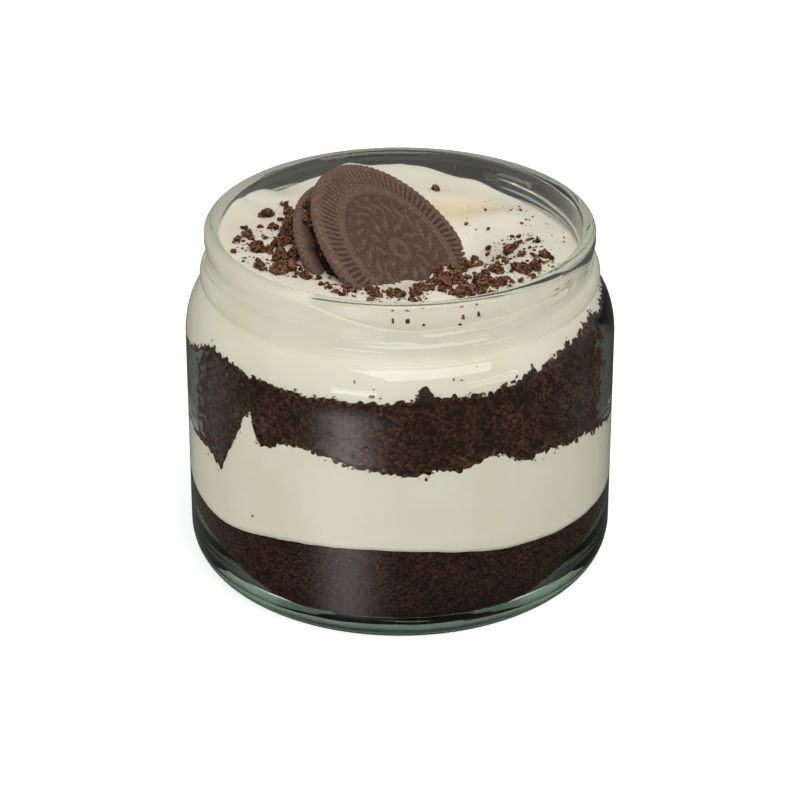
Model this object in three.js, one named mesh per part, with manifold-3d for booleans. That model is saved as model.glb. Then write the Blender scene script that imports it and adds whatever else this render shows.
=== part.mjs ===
/**
 * Layered dessert jar: a squat wide-mouth glass jar without its lid, filled with chocolate crumb and
 * cream in layers, with a sandwich cookie pushed into the top at a slant and crumbs scattered round it.
 *
 * Millimetres, +Z up, origin at the middle of the base. Angles round the jar are in degrees and count
 * from the front (-Y) towards the right (+X).
 */
import * as THREE from 'three';
import { mergeVertices } from 'three/addons/utils/BufferGeometryUtils.js';
import Module from 'manifold-3d';

const wasm = await Module();
wasm.setup();

// ---------------------------------------------------------------- driving dimensions

// Glass jar, outside
const JAR_HEIGHT = 75;
const JAR_STEPS = 56;
const BODY_RADIUS = 44.5;
const HEEL = { radial: 7, height: 8 };
const BASE_RECESS = { radius: 29.5, depth: 0.8, slope: 1.6 };
const SHOULDER = { start: 51.3, end: 62.2, neckRadius: 38.9 };
const BEAD = { middle: 64.6, halfHeight: 2.3, radius: 41.2 };
const NECK = { radius: 39.5, top: 69.4 };
const LIP = { radius: 40.1, rounding: 1.35 };
const LUGS = { count: 4, span: 64, bottom: 67.4, rise: 2.6, depth: 0.9, halfHeight: 1.1 };

// Glass jar, inside
const FLOOR = 4.4;
const INNER_RADIUS = 41.6;
const INNER_HEEL = { radial: 7, height: 8 };
const INNER_SHOULDER = { start: 50.5, height: 11, endAngle: 76, foldRadius: 37.4, fold: 62, end: 63.5 };
const MOUTH_RADIUS = 37;

// Contents
const GAP = 0.3;
const LAYER_STEPS = 72;
const INNER_RINGS = [20, 34];
const TOP_RINGS = [5, 10, 15, 20, 25, 29.5, 33.5];

// Cookie: two wafers and a filling between them
const COOKIE = { radius: 22, wafer: 2.6, filling: 2.6, fillingRadius: 19.6, teeth: 32, toothDepth: 0.5 };
const COOKIE_FACE_CENTRE = new THREE.Vector3(0.3, -4.5, 70.9);
const COOKIE_FACE_ANGLE = 69;
const COOKIE_FACE_RISE = 48.5;

// ---------------------------------------------------------------- materials

const glass = new THREE.MeshStandardMaterial({
  color: 0xdde8e1, roughness: 0.05, metalness: 0, transparent: true, opacity: 0.35,
});
const cream = new THREE.MeshStandardMaterial({ color: 0xece8d4, roughness: 0.55, metalness: 0 });
const crumb = new THREE.MeshStandardMaterial({ color: 0x2c1f18, roughness: 0.95, metalness: 0 });
const wafer = new THREE.MeshStandardMaterial({ color: 0x54423a, roughness: 0.85, metalness: 0 });
const filling = new THREE.MeshStandardMaterial({ color: 0x3a2820, roughness: 0.8, metalness: 0 });

// ---------------------------------------------------------------- small helpers

const radians = THREE.MathUtils.degToRad;
const lerp = THREE.MathUtils.lerp;

/** Seeded random numbers from 0 to 1, the same in every run. */
function seededRandom(seed) {
  let state = seed;
  return () => {
    state = (state + 0x6d2b79f5) | 0;
    let t = Math.imul(state ^ (state >>> 15), 1 | state);
    t = (t + Math.imul(t ^ (t >>> 7), 61 | t)) ^ t;
    return ((t ^ (t >>> 14)) >>> 0) / 4294967296;
  };
}

/** Smooth periodic curve through heights that are spaced evenly round the jar, the first at -180 degrees. */
function aroundJar(heights, angle) {
  const count = heights.length;
  const place = ((((angle + 180) % 360) + 360) % 360) / (360 / count);
  const i = Math.floor(place);
  const t = place - i;
  const [a, b, c, d] = [-1, 0, 1, 2].map((k) => heights[(i + k + count) % count]);
  return b + 0.5 * t * (c - a + t * (2 * a - 5 * b + 4 * c - d + t * (3 * (b - c) + d - a)));
}

/** A peak (or, with a negative height, a dip) at an angle, with its own width on each side. */
function peak(angle, { at, height, left, right }) {
  const offset = ((((angle - at + 180) % 360) + 360) % 360) - 180;
  const width = offset < 0 ? left : right;
  return height * Math.exp(-((offset / width) ** 2));
}

/** A round mound (or dish) on the cream. */
function mound(x, y, { at, height, radius }) {
  return height * Math.exp(-((x - at[0]) ** 2 + (y - at[1]) ** 2) / radius ** 2);
}

/** Points along a quarter of an ellipse, angles in degrees. */
function ellipseArc(centre, radial, vertical, from, to, steps) {
  const points = [];
  for (let k = 0; k <= steps; k += 1) {
    const a = radians(lerp(from, to, k / steps));
    points.push(new THREE.Vector2(centre[0] + radial * Math.cos(a), centre[1] + vertical * Math.sin(a)));
  }
  return points;
}

/** Revolves a profile of (radius, height) points round the Z axis, the first angle at the front. */
function turned(profile, steps) {
  const geometry = new THREE.LatheGeometry(profile, steps);
  geometry.rotateX(Math.PI / 2);
  return closed(geometry);
}

/** Leaves only positions, with shared corners, and drops triangles that have shrunk to nothing. */
function closed(geometry) {
  geometry.deleteAttribute('normal');
  geometry.deleteAttribute('uv');
  const merged = mergeVertices(geometry, 1e-4);
  const index = merged.index.array;
  const kept = [];
  for (let k = 0; k < index.length; k += 3) {
    const [a, b, c] = [index[k], index[k + 1], index[k + 2]];
    if (a !== b && b !== c && c !== a) {
      kept.push(a, b, c);
    }
  }
  merged.setIndex(kept);
  return merged;
}

/** Moves every corner of a geometry by a rule. */
function reshape(geometry, rule) {
  const position = geometry.attributes.position;
  const point = new THREE.Vector3();
  for (let k = 0; k < position.count; k += 1) {
    point.fromBufferAttribute(position, k);
    rule(point);
    position.setXYZ(k, point.x, point.y, point.z);
  }
  return geometry;
}

function angleOf(point) {
  return THREE.MathUtils.radToDeg(Math.atan2(point.x, -point.y));
}

function toManifold(geometry) {
  return new wasm.Manifold(new wasm.Mesh({
    numProp: 3,
    vertProperties: new Float32Array(geometry.attributes.position.array),
    triVerts: new Uint32Array(geometry.index.array),
  }));
}

function fromManifold(solid) {
  const mesh = solid.getMesh();
  const geometry = new THREE.BufferGeometry();
  geometry.setAttribute('position', new THREE.BufferAttribute(mesh.vertProperties, 3));
  geometry.setIndex(new THREE.BufferAttribute(mesh.triVerts, 1));
  return geometry;
}

function part(name, geometry, material) {
  geometry.computeVertexNormals();
  const mesh = new THREE.Mesh(geometry, material);
  mesh.name = name;
  return mesh;
}

// ---------------------------------------------------------------- the glass jar

/** Outside of the jar from the middle of its base up to the lip. */
function jarOutside() {
  const heelCentre = [BODY_RADIUS - HEEL.radial, HEEL.height];
  const shoulderCentre = [SHOULDER.neckRadius, SHOULDER.start];
  const shoulderRadial = BODY_RADIUS - SHOULDER.neckRadius;
  const beadDepth = BEAD.radius - NECK.radius;
  const neckRows = 3;
  const neckBottom = BEAD.middle + BEAD.halfHeight;
  const points = [
    new THREE.Vector2(0, BASE_RECESS.depth),
    new THREE.Vector2(BASE_RECESS.radius, BASE_RECESS.depth),
    new THREE.Vector2(BASE_RECESS.radius + BASE_RECESS.slope, 0),
    ...ellipseArc(heelCentre, HEEL.radial, HEEL.height, -90, 0, 3),
    ...ellipseArc(shoulderCentre, shoulderRadial, SHOULDER.end - SHOULDER.start, 0, 80, 3),
    ...ellipseArc([NECK.radius, BEAD.middle], beadDepth, BEAD.halfHeight, -75, 75, 3),
  ];
  for (let row = 1; row <= neckRows; row += 1) {
    points.push(new THREE.Vector2(NECK.radius, lerp(neckBottom, NECK.top, row / neckRows)));
  }
  points.push(new THREE.Vector2(LIP.radius, NECK.top + 1));
  const lipCentre = [LIP.radius - LIP.rounding, JAR_HEIGHT - LIP.rounding];
  points.push(...ellipseArc(lipCentre, LIP.rounding, LIP.rounding, 0, 90, 2));
  return points;
}

/** Inside of the jar from the lip down to the middle of its floor. */
function jarInside() {
  const lipCentre = [MOUTH_RADIUS + LIP.rounding, JAR_HEIGHT - LIP.rounding];
  const { start, height, endAngle, foldRadius, fold, end } = INNER_SHOULDER;
  const heelCentre = [INNER_RADIUS - INNER_HEEL.radial, FLOOR + INNER_HEEL.height];
  return [
    ...ellipseArc(lipCentre, LIP.rounding, LIP.rounding, 90, 180, 2),
    new THREE.Vector2(MOUTH_RADIUS, end),
    new THREE.Vector2(foldRadius, fold),
    ...ellipseArc([foldRadius, start], INNER_RADIUS - foldRadius, height, endAngle, 0, 3),
    ...ellipseArc(heelCentre, INNER_HEEL.radial, INNER_HEEL.height, 0, -90, 3),
    new THREE.Vector2(0, FLOOR),
  ];
}

/** How far the slanted lugs for the lid stand out of the neck. */
function lugDepth(angle, z) {
  const pitch = 360 / LUGS.count;
  const along = ((((angle % pitch) + pitch) % pitch)) / LUGS.span;
  if (along > 1) {
    return 0;
  }
  const taper = Math.min(1, 6 * along, 6 * (1 - along));
  const across = (z - LUGS.bottom - LUGS.rise * along) / LUGS.halfHeight;
  return LUGS.depth * taper * Math.max(0, 1 - across ** 2);
}

function jarGeometry() {
  const geometry = turned([...jarOutside(), ...jarInside()], JAR_STEPS);
  const outsideOnly = (MOUTH_RADIUS + LIP.radius) / 2;
  return reshape(geometry, (point) => {
    const radius = Math.hypot(point.x, point.y);
    if (radius < outsideOnly || point.z < BEAD.middle || point.z > JAR_HEIGHT - LIP.rounding) {
      return;
    }
    const scale = (radius + lugDepth(angleOf(point), point.z)) / radius;
    point.x *= scale;
    point.y *= scale;
  });
}

/** The inner wall from the floor's edge up to the lip, as the contents meet it. */
const innerWall = jarInside().slice(0, -1).reverse();

/** Radius of the jar's inner wall at a height. */
function innerRadius(z) {
  const above = Math.max(1, innerWall.findIndex((point) => point.y >= z));
  const [low, high] = [innerWall[above - 1], innerWall[above]];
  return lerp(low.x, high.x, THREE.MathUtils.clamp((z - low.y) / (high.y - low.y), 0, 1));
}

/** Radius that the contents reach at a height, clear of the glass above and below it too. */
function contentRadius(z) {
  return Math.min(innerRadius(z - GAP), innerRadius(z), innerRadius(z + GAP)) - GAP;
}

// ---------------------------------------------------------------- the layers

// Heights at the glass every 30 degrees from the back (-180) by the left side (-90), the front (0) and
// the right side (90), then the peaks and dips that stand out, and the height in the hidden middle.
const CRUMB_BASE_TOP = {
  atGlass: [19.5, 18.6, 19.8, 20.6, 18.1, 21.0, 22.1, 19.6, 18.3, 18.8, 20.6, 21.3],
  peaks: [],
  middle: 20.5,
  roughness: 0.35,
};
const CREAM_MIDDLE_TOP = {
  atGlass: [41.5, 38.5, 35.5, 33.6, 34.0, 43.0, 39.7, 41.0, 37.4, 33.5, 36.0, 40.0],
  peaks: [
    { at: -44, height: 8.6, left: 6.5, right: 2.6 },
    { at: -58, height: -3.2, left: 3, right: 3 },
    { at: 25, height: 1.2, left: 5, right: 5 },
    { at: 35, height: -1.8, left: 4, right: 6 },
  ],
  middle: 38,
  roughness: 0.3,
};
const CRUMB_MIDDLE_TOP = {
  atGlass: [54.5, 53.0, 51.5, 50.2, 54.6, 54.0, 54.6, 55.2, 58.6, 58.4, 56.5, 55.5],
  peaks: [
    { at: -62, height: 1.6, left: 6, right: 3 },
    { at: 6.5, height: 3.0, left: 2, right: 2 },
    { at: 37.5, height: 1.0, left: 2, right: 2 },
  ],
  middle: 45.5,
  roughness: 0.35,
};
const CREAM_TOP_AT_GLASS = [72.0, 70.8, 72.9, 73.4, 73.2, 72.8, 68.9, 69.4, 68.2, 67.4, 67.3, 68.6];
const CREAM_TOP_MIDDLE = 70.6;
const CREAM_TOP_MOUNDS = [
  { at: [-19, -9], height: 1.6, radius: 9 },
  { at: [-6, 24], height: 1.8, radius: 9 },
  { at: [13.5, 4.5], height: -7.4, radius: 10 },
  { at: [5, -8], height: -4.2, radius: 7 },
  { at: [-1, -16], height: -1.4, radius: 5 },
  { at: [22, 20], height: 1.2, radius: 6 },
];
const SWIRL = { depth: 0.5, arms: 3, pitch: 3.4 };

/** Builds the rule for a rough boundary between two layers: its height at an angle and a radius. */
function layerBoundary(layer, seed) {
  const random = seededRandom(seed);
  const jag = Array.from({ length: LAYER_STEPS }, () => layer.roughness * (2 * random() - 1));
  return (angle, radius) => {
    const step = Math.round((((angle + 360) % 360) * LAYER_STEPS) / 360) % LAYER_STEPS;
    let height = aroundJar(layer.atGlass, angle) + jag[step];
    for (const item of layer.peaks) {
      height += peak(angle, item);
    }
    const share = Math.min(1, radius / innerRadius(height));
    return lerp(layer.middle, height, share ** 2);
  };
}

/** Height of the swirled top of the cream. */
function creamTop(angle, radius) {
  const x = radius * Math.sin(radians(angle));
  const y = -radius * Math.cos(radians(angle));
  const share = Math.min(1, radius / MOUTH_RADIUS);
  let height = lerp(CREAM_TOP_MIDDLE, aroundJar(CREAM_TOP_AT_GLASS, angle), share ** 2);
  for (const item of CREAM_TOP_MOUNDS) {
    height += mound(x, y, item) * (1 - share ** 4);
  }
  const ripple = Math.sin(radians(SWIRL.arms * angle) + radius / SWIRL.pitch);
  return height + SWIRL.depth * ripple * share * (1 - share ** 6);
}

const crumbBaseTop = layerBoundary(CRUMB_BASE_TOP, 11);
const creamMiddleTop = layerBoundary(CREAM_MIDDLE_TOP, 23);
const crumbMiddleTop = layerBoundary(CRUMB_MIDDLE_TOP, 37);

/** Height of a boundary where it meets the glass, which leans in at the shoulder and the heel. */
function heightAtGlass(boundary, angle) {
  let height = boundary(angle, INNER_RADIUS);
  for (let pass = 0; pass < 3; pass += 1) {
    height = boundary(angle, innerRadius(height));
  }
  return height;
}

/** Splits the four-sided faces between the first rows of a lathe along their other diagonal. */
function splitOtherWay(geometry, rowCount, firstRows) {
  const index = geometry.index.array;
  for (let step = 0; step < LAYER_STEPS; step += 1) {
    for (let row = 0; row < firstRows; row += 1) {
      const at = 6 * (step * (rowCount - 1) + row);
      const [a, b, d, c] = index.slice(at, at + 4);
      index.set([a, b, c, a, c, d], at);
    }
  }
}

/**
 * A layer: it fills the jar from one boundary to the next, clear of the glass. Its bottom is split into
 * the same triangles as the top of the layer below, so that the two keep their distance.
 */
function layerGeometry({ bottom, bottomRings, top, topRings }) {
  // The rows of the lathe's profile: across the bottom, up the wall past each of its bends, and across
  // the top.
  const wallHeights = [0, ...innerWall.map((point) => point.y), JAR_HEIGHT];
  const rows = [
    { boundary: bottom, radius: 0 },
    ...bottomRings.map((radius) => ({ boundary: bottom, radius })),
    ...wallHeights.map((wallHeight) => ({ wallHeight })),
    ...topRings.map((radius) => ({ boundary: top, radius })).reverse(),
    { boundary: top, radius: 0 },
  ];
  const outline = rows.map((row, k) => new THREE.Vector2(row.radius ?? INNER_RADIUS, k));
  const geometry = new THREE.LatheGeometry(outline, LAYER_STEPS);
  splitOtherWay(geometry, rows.length, bottomRings.length + 1);
  geometry.rotateX(Math.PI / 2);
  reshape(geometry, (point) => {
    const row = rows[Math.round(point.z)];
    const angle = row.radius === 0 ? 0 : Math.round(angleOf(point) * 10) / 10;
    if (row.boundary) {
      point.z = row.boundary(angle, row.radius);
      return;
    }
    point.z = THREE.MathUtils.clamp(row.wallHeight, heightAtGlass(bottom, angle), heightAtGlass(top, angle));
    const radius = contentRadius(point.z);
    point.x = radius * Math.sin(radians(angle));
    point.y = -radius * Math.cos(radians(angle));
  });
  return closed(geometry);
}

const lifted = (boundary) => (angle, radius) => boundary(angle, radius) + GAP;
const jarFloor = () => FLOOR + GAP;

function crumbBaseGeometry() {
  return layerGeometry({
    bottom: jarFloor, bottomRings: [24], top: crumbBaseTop, topRings: INNER_RINGS,
  });
}

function creamMiddleGeometry() {
  return layerGeometry({
    bottom: lifted(crumbBaseTop), bottomRings: INNER_RINGS,
    top: creamMiddleTop, topRings: INNER_RINGS,
  });
}

function crumbMiddleGeometry() {
  return layerGeometry({
    bottom: lifted(creamMiddleTop), bottomRings: INNER_RINGS,
    top: crumbMiddleTop, topRings: INNER_RINGS,
  });
}

// ---------------------------------------------------------------- the cookie

/** Direction in which the front face of the cookie looks. */
const cookieNormal = new THREE.Vector3(
  Math.sin(radians(COOKIE_FACE_ANGLE)) * Math.cos(radians(COOKIE_FACE_RISE)),
  -Math.cos(radians(COOKIE_FACE_ANGLE)) * Math.cos(radians(COOKIE_FACE_RISE)),
  Math.sin(radians(COOKIE_FACE_RISE)),
);
const cookieTurn = new THREE.Quaternion().setFromUnitVectors(new THREE.Vector3(0, 0, 1), cookieNormal);
const COOKIE_THICKNESS = 2 * COOKIE.wafer + COOKIE.filling + 2 * GAP;

/** A wafer with its patterned face up at height 0: a toothed rim, a sunk ring and a flat middle. */
function waferGeometry() {
  const edge = COOKIE.radius - 0.7;
  const relief = 0.35;
  const profile = [
    [0, -COOKIE.wafer], [COOKIE.radius - 0.5, -COOKIE.wafer], [COOKIE.radius, -COOKIE.wafer + 0.7],
    [COOKIE.radius, -1.1], [edge, -0.2], [19, 0], [18.4, -relief], [16, -relief], [15.4, 0],
    [0, 0],
  ];
  const geometry = turned(profile.map(([r, z]) => new THREE.Vector2(r, z)), 2 * COOKIE.teeth);
  return reshape(geometry, (point) => {
    const radius = Math.hypot(point.x, point.y);
    if (radius < edge - 0.1) {
      return;
    }
    const step = Math.round((angleOf(point) * COOKIE.teeth) / 180);
    if (step % 2 !== 0) {
      const scale = 1 - COOKIE.toothDepth / radius;
      point.x *= scale;
      point.y *= scale;
    }
  });
}

function fillingGeometry() {
  const middle = COOKIE.filling / 2;
  const profile = [[0, 0], [COOKIE.fillingRadius - 0.6, 0], [COOKIE.fillingRadius, middle],
    [COOKIE.fillingRadius - 0.6, COOKIE.filling], [0, COOKIE.filling]];
  return turned(profile.map(([r, z]) => new THREE.Vector2(r, z)), 36);
}

/** The room that the cookie takes up in the cream, as a plain disc with a little clearance. */
function cookieRoom(clearance) {
  const radius = COOKIE.radius + clearance;
  const geometry = new THREE.CylinderGeometry(radius, radius, COOKIE_THICKNESS + 2 * clearance, 60);
  geometry.rotateX(Math.PI / 2);
  geometry.translate(0, 0, -COOKIE_THICKNESS / 2);
  geometry.applyQuaternion(cookieTurn);
  geometry.translate(...COOKIE_FACE_CENTRE.toArray());
  return closed(geometry);
}

/** How far a point lies from the cookie, measured along and across it. */
function distanceToCookie(point) {
  const local = point.clone().sub(COOKIE_FACE_CENTRE).applyQuaternion(cookieTurn.clone().invert());
  const across = Math.hypot(local.x, local.y) - COOKIE.radius;
  const along = Math.abs(local.z + COOKIE_THICKNESS / 2) - COOKIE_THICKNESS / 2;
  return Math.hypot(Math.max(across, 0), Math.max(along, 0));
}

// ---------------------------------------------------------------- the top cream and its crumbs

// Where the larger crumbs lie on the cream: left of the cookie and in a band in front and to the right.
const CRUMB_PATCHES = [
  { at: [-25, 0], spread: [7, 12], count: 12, size: [0.8, 1.7] },
  { at: [-20, -17], spread: [8, 5], count: 10, size: [0.8, 1.7] },
  { at: [-3, -25], spread: [9, 2.5], count: 7, size: [0.8, 1.4] },
  { at: [13, -20], spread: [7, 4], count: 10, size: [0.8, 1.7] },
  { at: [25, -6], spread: [6, 8], count: 7, size: [0.8, 1.6] },
  { at: [23, 5], spread: [3, 3], count: 3, size: [0.8, 1.5] },
];

/** One crumb: a lump with about twenty uneven faces. */
function crumbLump(size, random) {
  const geometry = closed(new THREE.IcosahedronGeometry(size, 0));
  return reshape(geometry, (point) => {
    point.multiply(new THREE.Vector3(
      0.85 + 0.4 * random(),
      0.85 + 0.4 * random(),
      0.6 + 0.3 * random(),
    ));
  });
}

function crumbLumps() {
  const random = seededRandom(5);
  const lumps = [];
  for (const { at, spread, count, size } of CRUMB_PATCHES) {
    let placed = 0;
    for (let attempt = 0; attempt < 20 * count && placed < count; attempt += 1) {
      const turn = 2 * Math.PI * random();
      const reach = Math.sqrt(random());
      const radius = lerp(size[1], size[0], Math.sqrt(random()));
      const centre = new THREE.Vector3(
        at[0] + spread[0] * reach * Math.cos(turn),
        at[1] + spread[1] * reach * Math.sin(turn),
        0,
      );
      centre.z = creamTop(angleOf(centre), centre.length()) + 0.3 * radius;
      const wide = 1.25 * radius + GAP;
      const clearOfGlass = Math.hypot(centre.x, centre.y) + wide < MOUTH_RADIUS;
      const clearOfOthers = lumps.every((lump) => lump.centre.distanceTo(centre) > 0.8 * (lump.radius + radius));
      if (clearOfGlass && clearOfOthers && distanceToCookie(centre) > wide) {
        const geometry = crumbLump(radius, random);
        geometry.translate(...centre.toArray());
        lumps.push({ centre, radius, geometry });
        placed += 1;
      }
    }
  }
  return lumps;
}

function creamTopGeometry() {
  const layer = layerGeometry({
    bottom: lifted(crumbMiddleTop), bottomRings: INNER_RINGS, top: creamTop, topRings: TOP_RINGS,
  });
  let solid = toManifold(layer).subtract(toManifold(cookieRoom(GAP)));
  for (const lump of crumbLumps()) {
    solid = solid.add(toManifold(lump.geometry));
  }
  return fromManifold(solid);
}

// ---------------------------------------------------------------- the whole

const dessert = new THREE.Group();
dessert.add(
  part('jar', jarGeometry(), glass),
  part('crumb_base', crumbBaseGeometry(), crumb),
  part('cream_middle', creamMiddleGeometry(), cream),
  part('crumb_middle', crumbMiddleGeometry(), crumb),
  part('cream_top', creamTopGeometry(), cream),
);

const cookie = new THREE.Group();
cookie.position.copy(COOKIE_FACE_CENTRE);
cookie.quaternion.copy(cookieTurn);

const frontWafer = part('cookie_front_wafer', waferGeometry(), wafer);

const cookieFilling = part('cookie_filling', fillingGeometry(), filling);
cookieFilling.position.z = -COOKIE.wafer - GAP - COOKIE.filling;

const backWafer = part('cookie_back_wafer', waferGeometry(), wafer);
backWafer.rotation.x = Math.PI;
backWafer.position.z = -COOKIE_THICKNESS;

cookie.add(frontWafer, cookieFilling, backWafer);
dessert.add(cookie);

export default dessert;
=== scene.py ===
"""Layered dessert jar: chocolate crumb and cream in a squat glass jar, with a sandwich cookie in the top.

Metres, +Z up. Sizes are written in millimetres and carry MM. Angles round the jar are in degrees and
count from the front (-Y) towards the right (+X), and every layer is worked out from the same heights at
the glass as the solid that it stands for.
"""

import math

import bmesh
import bpy
import numpy as np
from mathutils import Matrix, Vector, noise


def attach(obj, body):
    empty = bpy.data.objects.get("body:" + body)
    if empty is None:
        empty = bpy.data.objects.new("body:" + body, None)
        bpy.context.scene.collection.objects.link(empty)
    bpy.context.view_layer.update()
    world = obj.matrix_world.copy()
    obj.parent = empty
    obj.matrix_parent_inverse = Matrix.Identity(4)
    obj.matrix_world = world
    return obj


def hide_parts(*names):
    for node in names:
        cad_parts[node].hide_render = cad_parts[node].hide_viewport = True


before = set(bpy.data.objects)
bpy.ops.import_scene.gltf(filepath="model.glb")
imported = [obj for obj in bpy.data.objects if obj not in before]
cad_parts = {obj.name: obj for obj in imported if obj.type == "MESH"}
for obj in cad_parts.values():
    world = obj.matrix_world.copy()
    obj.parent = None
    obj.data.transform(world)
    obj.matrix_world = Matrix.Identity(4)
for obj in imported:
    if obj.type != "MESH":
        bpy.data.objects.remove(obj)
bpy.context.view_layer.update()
MM = 0.001

# ------------------------------------------------------------------------------------- the glass jar
# A pressed jar of clear soda-lime glass without its lid: thick round heel, straight wall, short shoulder,
# a bead and four slanted lugs for the lid on the neck, and a fire-polished lip. It has one mould seam,
# and the inside is a little uneven, as the glass was blown out to the mould.

JAR_STEPS = 270
JAR_HEIGHT = 75
BODY_RADIUS = 44.5
HEEL_RADIAL, HEEL_HEIGHT = 7, 8
RECESS_RADIUS, RECESS_DEPTH, RECESS_SLOPE = 29.5, 0.8, 1.6
SHOULDER_START, SHOULDER_END, SHOULDER_RADIUS = 51.3, 62.2, 38.9
BEAD_MIDDLE, BEAD_HALF, BEAD_RADIUS = 64.6, 2.3, 41.2
NECK_RADIUS, NECK_TOP = 39.5, 69.4
LIP_RADIUS, LIP_ROUNDING = 40.1, 1.35
LUG_COUNT, LUG_SPAN, LUG_BOTTOM, LUG_RISE, LUG_DEPTH, LUG_HALF = 4, 64, 67.4, 2.6, 0.9, 1.1
SEAM_ANGLE, SEAM_HEIGHT, SEAM_WIDTH = -4.3, 0.16, 0.35
FLOOR_HEIGHT, INNER_RADIUS = 4.4, 41.6
INNER_HEEL_RADIAL, INNER_HEEL_HEIGHT = 7, 8
INNER_SHOULDER_START, INNER_SHOULDER_HEIGHT, INNER_SHOULDER_END = 50.5, 11, 76
FOLD_RADIUS, FOLD_END = 37.4, 63.5
MOUTH_RADIUS = 37
GLASS_GREEN, GLASS_DENSITY = (0.66, 0.84, 0.70), 26
RIPPLE_SCALE, RIPPLE_HEIGHT = (30, 30, 420), 0.05
STIPPLED_TO, STIPPLE_ROUGHNESS, SMOOTH_RING_FROM = 0.9, 0.45, 25.05
LAMP_SHARE = (0.92, 0.915, 0.905)


def ellipse_arc(centre, radial, vertical, start, end, count):
    """Radii and heights along part of an ellipse, angles in degrees."""
    turn = np.radians(np.linspace(start, end, count))
    return np.stack([centre[0] + radial * np.cos(turn), centre[1] + vertical * np.sin(turn)], axis=1)


def straight(start, end, count):
    return np.linspace(start, end, count)


def jar_outside():
    """Profile from the middle of the base out and up to the lip."""
    bead_depth = BEAD_RADIUS - NECK_RADIUS
    shoulder_radial = BODY_RADIUS - SHOULDER_RADIUS
    shoulder_rise = SHOULDER_END - SHOULDER_START
    bead_top = BEAD_MIDDLE + BEAD_HALF
    lip_centre = (LIP_RADIUS - LIP_ROUNDING, JAR_HEIGHT - LIP_ROUNDING)
    return np.concatenate([
        straight((0, RECESS_DEPTH), (RECESS_RADIUS, RECESS_DEPTH), 8),
        ellipse_arc((RECESS_RADIUS + RECESS_SLOPE, 0.25), 0.3, 0.25, 180, 270, 4),
        ellipse_arc((BODY_RADIUS - HEEL_RADIAL, HEEL_HEIGHT), HEEL_RADIAL, HEEL_HEIGHT, -90, 0, 22),
        straight((BODY_RADIUS, HEEL_HEIGHT + 1), (BODY_RADIUS, SHOULDER_START - 1), 12),
        ellipse_arc((SHOULDER_RADIUS, SHOULDER_START), shoulder_radial, shoulder_rise, 0, 78, 24),
        ellipse_arc((NECK_RADIUS, BEAD_MIDDLE), bead_depth, BEAD_HALF, -72, 72, 18),
        straight((NECK_RADIUS + 0.25, bead_top + 0.1), (NECK_RADIUS, bead_top + 0.5), 3),
        straight((NECK_RADIUS, bead_top + 0.6), (NECK_RADIUS + 0.02, NECK_TOP - 0.6), 9),
        straight((NECK_RADIUS + 0.06, NECK_TOP), (LIP_RADIUS, NECK_TOP + 2.8), 7),
        ellipse_arc(lip_centre, LIP_ROUNDING, LIP_ROUNDING, 0, 90, 10),
    ])


def jar_inside():
    """Profile from the lip down the inside to the middle of the floor."""
    lip_centre = (MOUTH_RADIUS + LIP_ROUNDING, JAR_HEIGHT - LIP_ROUNDING)
    shoulder_radial = INNER_RADIUS - FOLD_RADIUS
    heel_centre = (INNER_RADIUS - INNER_HEEL_RADIAL, FLOOR_HEIGHT + INNER_HEEL_HEIGHT)
    return np.concatenate([
        ellipse_arc(lip_centre, LIP_ROUNDING, LIP_ROUNDING, 95, 180, 10),
        straight((MOUTH_RADIUS, 72), (MOUTH_RADIUS, FOLD_END), 8),
        ellipse_arc((FOLD_RADIUS, INNER_SHOULDER_START), shoulder_radial, INNER_SHOULDER_HEIGHT,
                    INNER_SHOULDER_END, 0, 24),
        straight((INNER_RADIUS, INNER_SHOULDER_START - 1), (INNER_RADIUS, heel_centre[1] + 1), 12),
        ellipse_arc(heel_centre, INNER_HEEL_RADIAL, INNER_HEEL_HEIGHT, 0, -90, 20),
        straight((heel_centre[0] - 2, FLOOR_HEIGHT), (0, FLOOR_HEIGHT), 8),
    ])


inner_wall = jar_inside()[::-1]


def glass_inside(height):
    """Radius of the inside of the jar at a height, in millimetres."""
    return np.interp(height, inner_wall[:, 1], inner_wall[:, 0])


def lug_depth(angle, height):
    """How far the slanted lugs for the lid stand out of the neck."""
    along = np.mod(angle, 360 / LUG_COUNT) / LUG_SPAN
    taper = np.clip(6 * np.minimum(along, 1 - along), 0, 1)
    across = (height - LUG_BOTTOM - LUG_RISE * along) / LUG_HALF
    return LUG_DEPTH * taper * taper * (3 - 2 * taper) * np.clip(1 - across**2, 0, 1)


def seam_height(angle, height):
    """The thin ridge that the mould's two halves leave up the neck, front and back."""
    offset = np.mod(angle - SEAM_ANGLE + 90, 180) - 90
    across = np.exp(-(np.radians(offset) * NECK_RADIUS / SEAM_WIDTH) ** 2)
    return SEAM_HEIGHT * across * np.clip((height - 60) / 2, 0, 1) * np.clip((74.5 - height) / 1.5, 0, 1)


def angles_round(steps):
    return np.arange(steps) * 360 / steps


def places_round(angles, radii, heights):
    """Grid of places [angle, row, xyz] in metres from radii and heights in millimetres."""
    turn = np.radians(angles)[:, None]
    radii, heights = np.broadcast_arrays(radii, heights)
    radii = np.broadcast_to(radii, (len(angles), radii.shape[-1]))
    heights = np.broadcast_to(heights, radii.shape)
    return np.stack([radii * np.sin(turn), -radii * np.cos(turn), heights], axis=2) * MM


def placed(name, data):
    """A new object with this data, in the scene."""
    thing = bpy.data.objects.new(name, data)
    bpy.context.scene.collection.objects.link(thing)
    return thing


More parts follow.
